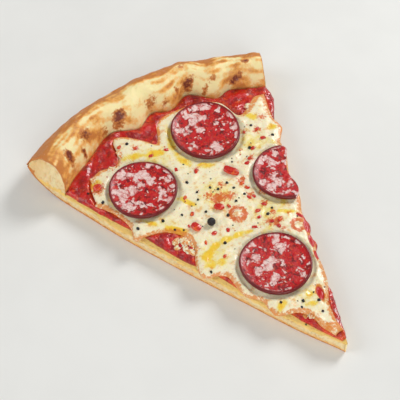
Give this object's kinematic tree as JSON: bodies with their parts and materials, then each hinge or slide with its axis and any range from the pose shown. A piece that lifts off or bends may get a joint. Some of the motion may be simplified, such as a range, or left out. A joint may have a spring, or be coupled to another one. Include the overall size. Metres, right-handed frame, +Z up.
{
  "type": "pizza slice",
  "caption": "Slice of thin pizza with a raised baked rim, tomato sauce, melted cheese hanging over one cut, round salami slices, red pepper flakes and coarse black pepper",
  "frame": {"origin": "on the flat underside, on the slice's centre line, half way from the tip to the outer edge of the pie", "axes": "+Z up out of the toppings; +Y from the tip to the rim along the slice's centre line; +X to the right seen from above with the rim away"},
  "size_m": [0.1364, 0.1774, 0.0228],
  "materials": {
    "crust_baked": "baked dough, matt, browned on the rim",
    "sauce_tomato": "wet, glossy",
    "cheese_melted": "melted, oily sheen",
    "salami_red": "oily, marbled with pale fat",
    "pepper_red": "moist skin",
    "peppercorn_black": "wrinkled, dull"
  },
  "bodies": {
    "root": {"dough": "crust_baked", "sauce": "sauce_tomato", "cheese": "cheese_melted", "salami_1": "salami_red", "salami_2": "salami_red", "salami_3": "salami_red", "salami_4": "salami_red", "red_pepper_piece_1": "pepper_red", "red_pepper_piece_2": "pepper_red", "red_pepper_piece_3": "pepper_red", "red_pepper_piece_4": "pepper_red", "peppercorn": "peppercorn_black"}
  },
  "joints": []
}
